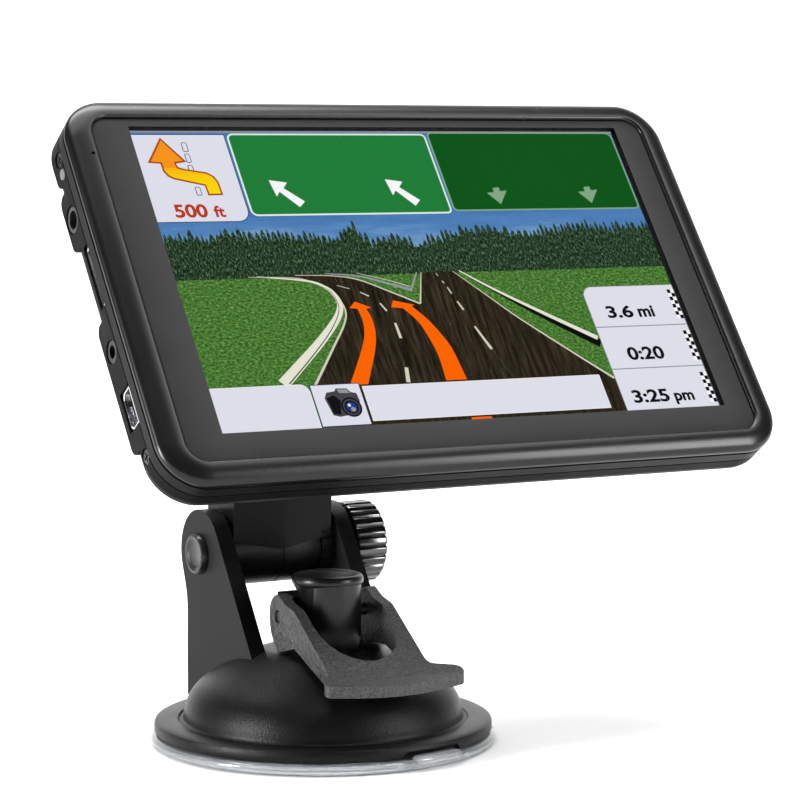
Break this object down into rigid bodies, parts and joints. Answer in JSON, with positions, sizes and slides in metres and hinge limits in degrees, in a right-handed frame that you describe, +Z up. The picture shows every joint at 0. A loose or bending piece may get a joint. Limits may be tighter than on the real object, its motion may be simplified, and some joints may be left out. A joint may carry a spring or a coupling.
{
  "type": "portable gps navigator",
  "caption": "Flat touch-screen navigator with a rounded black case, held by a tongue on a tilting neck over a lever-locked suction base.",
  "frame": {"origin": "middle of the suction pad's flat underside", "axes": "+X along the tilt axis to the screen's right, -Y the way the screen faces, +Z up from the surface the pad is on"},
  "size_m": [0.1325, 0.0666, 0.1194],
  "materials": {
    "pad_clear": "clear soft plastic, glossy",
    "base_black": "black ABS, fine spark-eroded grain",
    "stem_black": "black ABS, satin",
    "spring_steel": "drawn spring wire",
    "lever_black": "black nylon, coarse grain on top",
    "pin_steel": "turned steel pin",
    "bolt_black": "black oxide",
    "knob_gloss": "polished black",
    "nut_steel": "plated steel",
    "neck_black": "black ABS, satin",
    "washer_black": "black friction rubber",
    "bezel_gloss": "piano black",
    "panel_glass": "touch panel with printed border",
    "lcd_metal": "pressed tray with display",
    "trim_satin": "satin grey paint",
    "case_black": "black ABS, fine grain",
    "screw_steel": "dark plated steel",
    "board_green": "solder mask on fibreglass",
    "can_tin": "tinned steel",
    "cell_foil": "foil pouch",
    "speaker_black": "moulded frame",
    "patch_ceramic": "fired ceramic, silvered top",
    "socket_nickel": "nickel plated",
    "socket_black": "black moulding",
    "cage_steel": "stamped stainless",
    "usb_steel": "nickel plated shell",
    "pipe_clear": "translucent acrylic",
    "mic_metal": "can",
    "button_black": "black, satin top",
    "switch_metal": "tinned cover",
    "ribbon_amber": "polyimide film"
  },
  "bodies": {
    "base": {"suction_pad": "pad_clear", "base_housing": "base_black", "pivot_bolt": "bolt_black"},
    "stem": {"clamp_stem": "stem_black", "stem_spring": "spring_steel", "lever_pin": "pin_steel"},
    "lever": {"lever": "lever_black"},
    "knob": {"tilt_knob": "knob_gloss", "knob_nut": "nut_steel"},
    "neck": {"neck_head": "neck_black", "tilt_washer": "washer_black"},
    "navigator": {"front_bezel": "bezel_gloss", "touch_panel": "panel_glass", "lcd_module": "lcd_metal", "trim_ring": "trim_satin", "rear_case": "case_black", "case_screw_1": "screw_steel", "case_screw_2": "screw_steel", "case_screw_3": "screw_steel", "case_screw_4": "screw_steel", "main_board": "board_green", "rf_shield": "can_tin", "battery": "cell_foil", "speaker": "speaker_black", "gps_antenna": "patch_ceramic", "headphone_socket": "socket_nickel", "av_socket": "socket_black", "card_socket": "cage_steel", "usb_socket": "usb_steel", "light_pipe": "pipe_clear", "microphone": "mic_metal", "power_switch": "switch_metal", "lcd_ribbon": "ribbon_amber"},
    "power_key": {"power_button": "button_black"}
  },
  "joints": [
    {"name": "tilt_hinge", "type": "hinge", "parent": "base", "child": "neck", "pos_m": [0, 0.0227, 0.0332], "axis": [-1, 0, 0], "range_deg": [-12, 50]},
    {"name": "knob_turn", "type": "hinge", "parent": "base", "child": "knob", "pos_m": [0.018, 0.0227, 0.0332], "axis": [1, 0, 0], "continuous": true},
    {"name": "stem_slide", "type": "slide", "parent": "base", "child": "stem", "axis": [0, 0, 1], "range_m": [-0.0015, 0], "deforming": ["stem_spring", "suction_pad"]},
    {"name": "lever_flip", "type": "hinge", "parent": "stem", "child": "lever", "pos_m": [0, -0.0015, 0.0242], "axis": [-1, 0, 0], "range_deg": [0, 60]},
    {"name": "unit_slide", "type": "slide", "parent": "neck", "child": "navigator", "axis": [0, 0.59, 0.8074], "range_m": [0, 0.028]},
    {"name": "power_press", "type": "slide", "parent": "navigator", "child": "power_key", "axis": [0, -0.59, -0.8074], "range_m": [0, 0.0005], "stiffness_N_per_m": 400, "springref_m": -0.0005}
  ],
  "couplings": [
    {"joint": "lever_flip", "follows": "stem_slide", "rad_per_m": -698.13}
  ]
}
